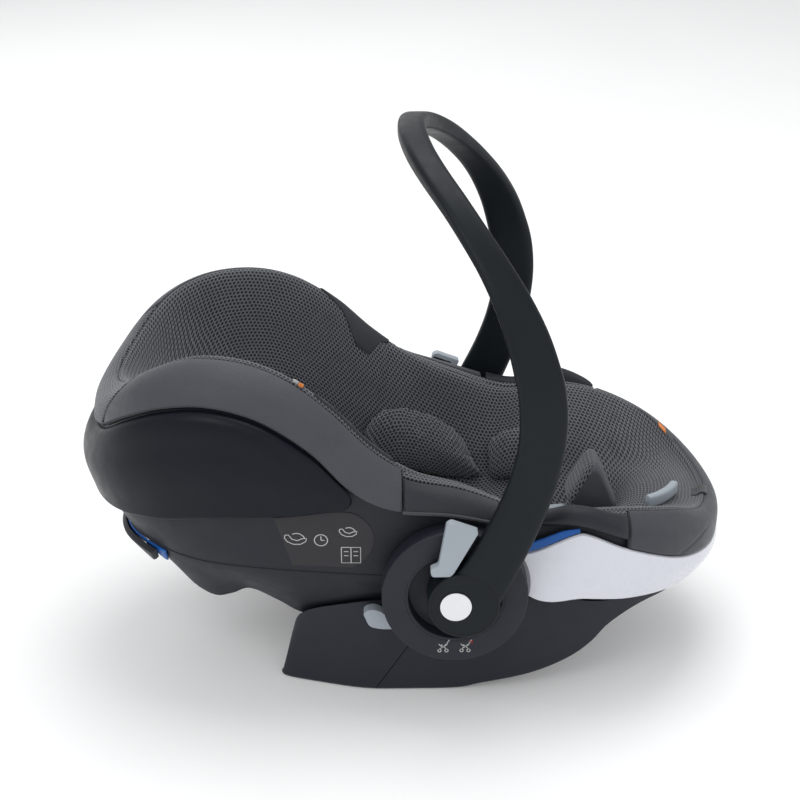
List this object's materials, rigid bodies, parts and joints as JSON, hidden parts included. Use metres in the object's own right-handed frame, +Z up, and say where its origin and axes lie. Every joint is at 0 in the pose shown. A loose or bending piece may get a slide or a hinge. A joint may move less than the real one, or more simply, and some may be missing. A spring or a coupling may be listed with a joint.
{
  "type": "infant car seat",
  "caption": "Rear-facing infant car seat with a dark shell, grey air-mesh cover, light foot trim, round hubs and a swinging carry handle.",
  "frame": {"origin": "on the floor under the rocker base's flat bottom, in the middle of the width", "axes": "+X towards the foot end, +Y to the occupant's side called left here, +Z up"},
  "size_m": [0.6735, 0.4344, 0.5683],
  "materials": {
    "base_black": "dark satin, fine grain",
    "buckle_black": "satin",
    "button_grey": "light grey satin",
    "button_red": "red",
    "cap_white": "off-white",
    "dark_shell": "dark matt moulded shell",
    "foam_white": "expanded foam, bead texture",
    "guide_blue": "blue satin",
    "handle_black": "dark satin",
    "label_brown": "printed film",
    "mesh_fabric": "grey air mesh over black",
    "panel_black": "dark satin panel",
    "soft_grey": "grey leatherette-like fabric",
    "steel": "zinc plated",
    "strap_black": "woven webbing",
    "trim_white": "light grey-white semi-gloss"
  },
  "bodies": {
    "seat": {"adjuster_body": "buckle_black", "adjuster_strap": "strap_black", "belt_horn_left": "dark_shell", "belt_horn_right": "dark_shell", "buckle_body": "buckle_black", "buckle_pad": "soft_grey", "buckle_tongue_left": "steel", "buckle_tongue_right": "steel", "crotch_pad": "soft_grey", "crotch_strap": "strap_black", "foam_liner": "foam_white", "foot_cover": "soft_grey", "foot_trim": "trim_white", "head_cover": "mesh_fabric", "head_panel": "panel_black", "hip_bolster_left": "mesh_fabric", "hip_bolster_right": "mesh_fabric", "hub_housing_left": "base_black", "hub_housing_right": "base_black", "label_left": "label_brown", "label_right": "label_brown", "lap_belt_channel_left": "guide_blue", "lap_belt_channel_right": "guide_blue", "latch_bar_front": "steel", "latch_bar_rear": "steel", "pivot_pin_left": "steel", "pivot_pin_right": "steel", "rear_belt_channel": "guide_blue", "rear_belt_hook": "dark_shell", "rear_foot": "base_black", "rim_bridge_left": "soft_grey", "rim_bridge_right": "soft_grey", "rim_cover_left": "soft_grey", "rim_cover_right": "soft_grey", "rocker_base": "base_black", "seat_liner": "mesh_fabric", "seat_shell": "dark_shell", "shoulder_belt_left": "strap_black", "shoulder_belt_right": "strap_black", "shoulder_pad_left": "soft_grey", "shoulder_pad_right": "soft_grey", "side_cover_left": "soft_grey", "side_cover_right": "soft_grey", "thigh_bolster_left": "mesh_fabric", "thigh_bolster_right": "mesh_fabric"},
    "handle": {"carry_handle": "handle_black", "hub_cap_left": "cap_white", "hub_cap_right": "cap_white"},
    "release_wedge_left": {"release_wedge_left": "button_grey"},
    "release_wedge_right": {"release_wedge_right": "button_grey"},
    "stroller_button_left": {"stroller_button_left": "button_grey"},
    "stroller_button_right": {"stroller_button_right": "button_grey"},
    "buckle_button": {"buckle_button": "button_red"},
    "adjuster_button": {"adjuster_button": "button_grey"},
    "release_lever": {"release_lever": "button_grey"}
  },
  "joints": [
    {"name": "handle_hinge", "type": "hinge", "parent": "seat", "child": "handle", "pos_m": [0.051, 0, 0.14], "axis": [0, 1, 0], "range_deg": [-100, 0]},
    {"name": "wedge_left_press", "type": "slide", "parent": "handle", "child": "release_wedge_left", "axis": [0, -1, 0], "range_m": [0, 0.004], "stiffness_N_per_m": 400},
    {"name": "wedge_right_press", "type": "slide", "parent": "handle", "child": "release_wedge_right", "axis": [0, 1, 0], "range_m": [0, 0.004], "stiffness_N_per_m": 400},
    {"name": "stroller_left_press", "type": "slide", "parent": "seat", "child": "stroller_button_left", "axis": [0, -1, 0], "range_m": [0, 0.004], "stiffness_N_per_m": 400},
    {"name": "stroller_right_press", "type": "slide", "parent": "seat", "child": "stroller_button_right", "axis": [0, 1, 0], "range_m": [0, 0.004], "stiffness_N_per_m": 400},
    {"name": "buckle_press", "type": "slide", "parent": "seat", "child": "buckle_button", "axis": [0, 0, -1], "range_m": [0, 0.0004], "stiffness_N_per_m": 600},
    {"name": "adjuster_press", "type": "slide", "parent": "seat", "child": "adjuster_button", "axis": [0, 0, -1], "range_m": [0, 0.0005], "stiffness_N_per_m": 600},
    {"name": "lever_pull", "type": "slide", "parent": "seat", "child": "release_lever", "axis": [-1, 0, 0], "range_m": [0, 0.01], "stiffness_N_per_m": 150}
  ]
}
